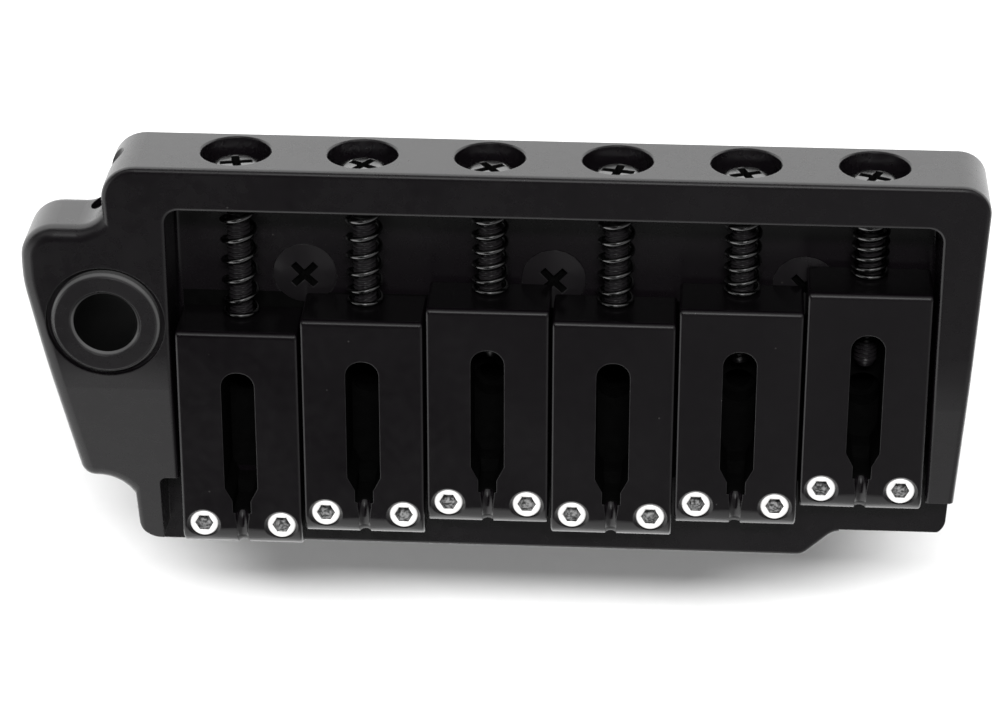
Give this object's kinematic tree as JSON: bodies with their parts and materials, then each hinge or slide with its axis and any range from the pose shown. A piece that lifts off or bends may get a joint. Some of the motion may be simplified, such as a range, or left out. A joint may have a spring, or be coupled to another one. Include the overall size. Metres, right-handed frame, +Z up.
{
  "type": "guitar tremolo bridge",
  "caption": "Guitar tremolo bridge: cast frame with a hanging sustain block, saddles that slide and tilt on sprung screws, and a socket for the arm.",
  "frame": {"origin": "underside of the frame's front edge, below the middle of the six strings", "axes": "+X across the strings to the bass side, +Y to the tail, +Z up from the guitar's face"},
  "size_m": [0.082, 0.039, 0.0421],
  "materials": {
    "cast_black": "satin black paint on a zinc casting",
    "block_grey": "matt black paint on a cast block",
    "bush_black": "black plated steel",
    "saddle_black": "satin black plating",
    "screw_black": "black oxide steel",
    "spring_black": "black oxide spring wire",
    "nickel": "bright nickel plate"
  },
  "bodies": {
    "bridge": {"base_plate": "cast_black", "sustain_block": "block_grey", "arm_bush": "bush_black", "block_screw_treble": "screw_black", "block_screw_middle": "screw_black", "block_screw_bass": "screw_black"},
    "arm_tension_screw": {"arm_tension_screw": "screw_black"},
    "swivel_1": {"intonation_spring_1": "spring_black"},
    "intonation_screw_1": {"intonation_screw_1": "screw_black"},
    "saddle_1": {"saddle_1": "saddle_black"},
    "height_screw_1_left": {"height_screw_1_left": "nickel"},
    "height_screw_1_right": {"height_screw_1_right": "nickel"},
    "swivel_2": {"intonation_spring_2": "spring_black"},
    "intonation_screw_2": {"intonation_screw_2": "screw_black"},
    "saddle_2": {"saddle_2": "saddle_black"},
    "height_screw_2_left": {"height_screw_2_left": "nickel"},
    "height_screw_2_right": {"height_screw_2_right": "nickel"},
    "swivel_3": {"intonation_spring_3": "spring_black"},
    "intonation_screw_3": {"intonation_screw_3": "screw_black"},
    "saddle_3": {"saddle_3": "saddle_black"},
    "height_screw_3_left": {"height_screw_3_left": "nickel"},
    "height_screw_3_right": {"height_screw_3_right": "nickel"},
    "swivel_4": {"intonation_spring_4": "spring_black"},
    "intonation_screw_4": {"intonation_screw_4": "screw_black"},
    "saddle_4": {"saddle_4": "saddle_black"},
    "height_screw_4_left": {"height_screw_4_left": "nickel"},
    "height_screw_4_right": {"height_screw_4_right": "nickel"},
    "swivel_5": {"intonation_spring_5": "spring_black"},
    "intonation_screw_5": {"intonation_screw_5": "screw_black"},
    "saddle_5": {"saddle_5": "saddle_black"},
    "height_screw_5_left": {"height_screw_5_left": "nickel"},
    "height_screw_5_right": {"height_screw_5_right": "nickel"},
    "swivel_6": {"intonation_spring_6": "spring_black"},
    "intonation_screw_6": {"intonation_screw_6": "screw_black"},
    "saddle_6": {"saddle_6": "saddle_black"},
    "height_screw_6_left": {"height_screw_6_left": "nickel"},
    "height_screw_6_right": {"height_screw_6_right": "nickel"}
  },
  "joints": [
    {"name": "arm_tension_screw_turn", "type": "hinge", "parent": "bridge", "child": "arm_tension_screw", "pos_m": [-0.0382, 0.03, 0.0029], "axis": [0, 1, 0], "range_deg": [-180, 180]},
    {"name": "saddle_1_height", "type": "hinge", "parent": "bridge", "child": "swivel_1", "pos_m": [-0.027, 0.0368, 0.00135], "axis": [-1, 0, 0], "range_deg": [0, 4]},
    {"name": "saddle_1_intonation", "type": "slide", "parent": "swivel_1", "child": "saddle_1", "axis": [0, 1, 0], "range_m": [-0.002, 0.0068], "deforming": ["intonation_spring_1"]},
    {"name": "intonation_screw_1_turn", "type": "hinge", "parent": "swivel_1", "child": "intonation_screw_1", "pos_m": [-0.027, 0.0368, 0.00355], "axis": [0, 1, 0], "range_deg": [-6121, 1801]},
    {"name": "height_screw_1_left_drive", "type": "slide", "parent": "saddle_1", "child": "height_screw_1_left", "axis": [0, 0, 1], "range_m": [-0.00169, 0]},
    {"name": "height_screw_1_right_drive", "type": "slide", "parent": "saddle_1", "child": "height_screw_1_right", "axis": [0, 0, 1], "range_m": [-0.00169, 0]},
    {"name": "saddle_2_height", "type": "hinge", "parent": "bridge", "child": "swivel_2", "pos_m": [-0.0162, 0.0368, 0.00135], "axis": [-1, 0, 0], "range_deg": [0, 4]},
    {"name": "saddle_2_intonation", "type": "slide", "parent": "swivel_2", "child": "saddle_2", "axis": [0, 1, 0], "range_m": [-0.0034, 0.0054], "deforming": ["intonation_spring_2"]},
    {"name": "intonation_screw_2_turn", "type": "hinge", "parent": "swivel_2", "child": "intonation_screw_2", "pos_m": [-0.0162, 0.0368, 0.00355], "axis": [0, 1, 0], "range_deg": [-4861, 3061]},
    {"name": "height_screw_2_left_drive", "type": "slide", "parent": "saddle_2", "child": "height_screw_2_left", "axis": [0, 0, 1], "range_m": [-0.00169, 0]},
    {"name": "height_screw_2_right_drive", "type": "slide", "parent": "saddle_2", "child": "height_screw_2_right", "axis": [0, 0, 1], "range_m": [-0.00169, 0]},
    {"name": "saddle_3_height", "type": "hinge", "parent": "bridge", "child": "swivel_3", "pos_m": [-0.0054, 0.0368, 0.00135], "axis": [-1, 0, 0], "range_deg": [0, 4]},
    {"name": "saddle_3_intonation", "type": "slide", "parent": "swivel_3", "child": "saddle_3", "axis": [0, 1, 0], "range_m": [-0.0048, 0.004], "deforming": ["intonation_spring_3"]},
    {"name": "intonation_screw_3_turn", "type": "hinge", "parent": "swivel_3", "child": "intonation_screw_3", "pos_m": [-0.0054, 0.0368, 0.00355], "axis": [0, 1, 0], "range_deg": [-3601, 4321]},
    {"name": "height_screw_3_left_drive", "type": "slide", "parent": "saddle_3", "child": "height_screw_3_left", "axis": [0, 0, 1], "range_m": [-0.00169, 0]},
    {"name": "height_screw_3_right_drive", "type": "slide", "parent": "saddle_3", "child": "height_screw_3_right", "axis": [0, 0, 1], "range_m": [-0.00169, 0]},
    {"name": "saddle_4_height", "type": "hinge", "parent": "bridge", "child": "swivel_4", "pos_m": [0.0054, 0.0368, 0.00135], "axis": [-1, 0, 0], "range_deg": [0, 4]},
    {"name": "saddle_4_intonation", "type": "slide", "parent": "swivel_4", "child": "saddle_4", "axis": [0, 1, 0], "range_m": [-0.0039, 0.0049], "deforming": ["intonation_spring_4"]},
    {"name": "intonation_screw_4_turn", "type": "hinge", "parent": "swivel_4", "child": "intonation_screw_4", "pos_m": [0.0054, 0.0368, 0.00355], "axis": [0, 1, 0], "range_deg": [-4411, 3511]},
    {"name": "height_screw_4_left_drive", "type": "slide", "parent": "saddle_4", "child": "height_screw_4_left", "axis": [0, 0, 1], "range_m": [-0.00169, 0]},
    {"name": "height_screw_4_right_drive", "type": "slide", "parent": "saddle_4", "child": "height_screw_4_right", "axis": [0, 0, 1], "range_m": [-0.00169, 0]},
    {"name": "saddle_5_height", "type": "hinge", "parent": "bridge", "child": "swivel_5", "pos_m": [0.0162, 0.0368, 0.00135], "axis": [-1, 0, 0], "range_deg": [0, 4]},
    {"name": "saddle_5_intonation", "type": "slide", "parent": "swivel_5", "child": "saddle_5", "axis": [0, 1, 0], "range_m": [-0.0053, 0.0035], "deforming": ["intonation_spring_5"]},
    {"name": "intonation_screw_5_turn", "type": "hinge", "parent": "swivel_5", "child": "intonation_screw_5", "pos_m": [0.0162, 0.0368, 0.00355], "axis": [0, 1, 0], "range_deg": [-3151, 4771]},
    {"name": "height_screw_5_left_drive", "type": "slide", "parent": "saddle_5", "child": "height_screw_5_left", "axis": [0, 0, 1], "range_m": [-0.00169, 0]},
    {"name": "height_screw_5_right_drive", "type": "slide", "parent": "saddle_5", "child": "height_screw_5_right", "axis": [0, 0, 1], "range_m": [-0.00169, 0]},
    {"name": "saddle_6_height", "type": "hinge", "parent": "bridge", "child": "swivel_6", "pos_m": [0.027, 0.0368, 0.00135], "axis": [-1, 0, 0], "range_deg": [0, 4]},
    {"name": "saddle_6_intonation", "type": "slide", "parent": "swivel_6", "child": "saddle_6", "axis": [0, 1, 0], "range_m": [-0.0072, 0.0016], "deforming": ["intonation_spring_6"]},
    {"name": "intonation_screw_6_turn", "type": "hinge", "parent": "swivel_6", "child": "intonation_screw_6", "pos_m": [0.027, 0.0368, 0.00355], "axis": [0, 1, 0], "range_deg": [-1441, 6481]},
    {"name": "height_screw_6_left_drive", "type": "slide", "parent": "saddle_6", "child": "height_screw_6_left", "axis": [0, 0, 1], "range_m": [-0.00169, 0]},
    {"name": "height_screw_6_right_drive", "type": "slide", "parent": "saddle_6", "child": "height_screw_6_right", "axis": [0, 0, 1], "range_m": [-0.00169, 0]}
  ],
  "couplings": [
    {"joint": "intonation_screw_1_turn", "follows": "saddle_1_intonation", "rad_per_m": -15708},
    {"joint": "height_screw_1_left_drive", "follows": "saddle_1_height", "m_per_rad": -0.0241},
    {"joint": "height_screw_1_right_drive", "follows": "saddle_1_height", "m_per_rad": -0.0241},
    {"joint": "intonation_screw_2_turn", "follows": "saddle_2_intonation", "rad_per_m": -15708},
    {"joint": "height_screw_2_left_drive", "follows": "saddle_2_height", "m_per_rad": -0.0241},
    {"joint": "height_screw_2_right_drive", "follows": "saddle_2_height", "m_per_rad": -0.0241},
    {"joint": "intonation_screw_3_turn", "follows": "saddle_3_intonation", "rad_per_m": -15708},
    {"joint": "height_screw_3_left_drive", "follows": "saddle_3_height", "m_per_rad": -0.0241},
    {"joint": "height_screw_3_right_drive", "follows": "saddle_3_height", "m_per_rad": -0.0241},
    {"joint": "intonation_screw_4_turn", "follows": "saddle_4_intonation", "rad_per_m": -15708},
    {"joint": "height_screw_4_left_drive", "follows": "saddle_4_height", "m_per_rad": -0.0241},
    {"joint": "height_screw_4_right_drive", "follows": "saddle_4_height", "m_per_rad": -0.0241},
    {"joint": "intonation_screw_5_turn", "follows": "saddle_5_intonation", "rad_per_m": -15708},
    {"joint": "height_screw_5_left_drive", "follows": "saddle_5_height", "m_per_rad": -0.0241},
    {"joint": "height_screw_5_right_drive", "follows": "saddle_5_height", "m_per_rad": -0.0241},
    {"joint": "intonation_screw_6_turn", "follows": "saddle_6_intonation", "rad_per_m": -15708},
    {"joint": "height_screw_6_left_drive", "follows": "saddle_6_height", "m_per_rad": -0.0241},
    {"joint": "height_screw_6_right_drive", "follows": "saddle_6_height", "m_per_rad": -0.0241}
  ]
}
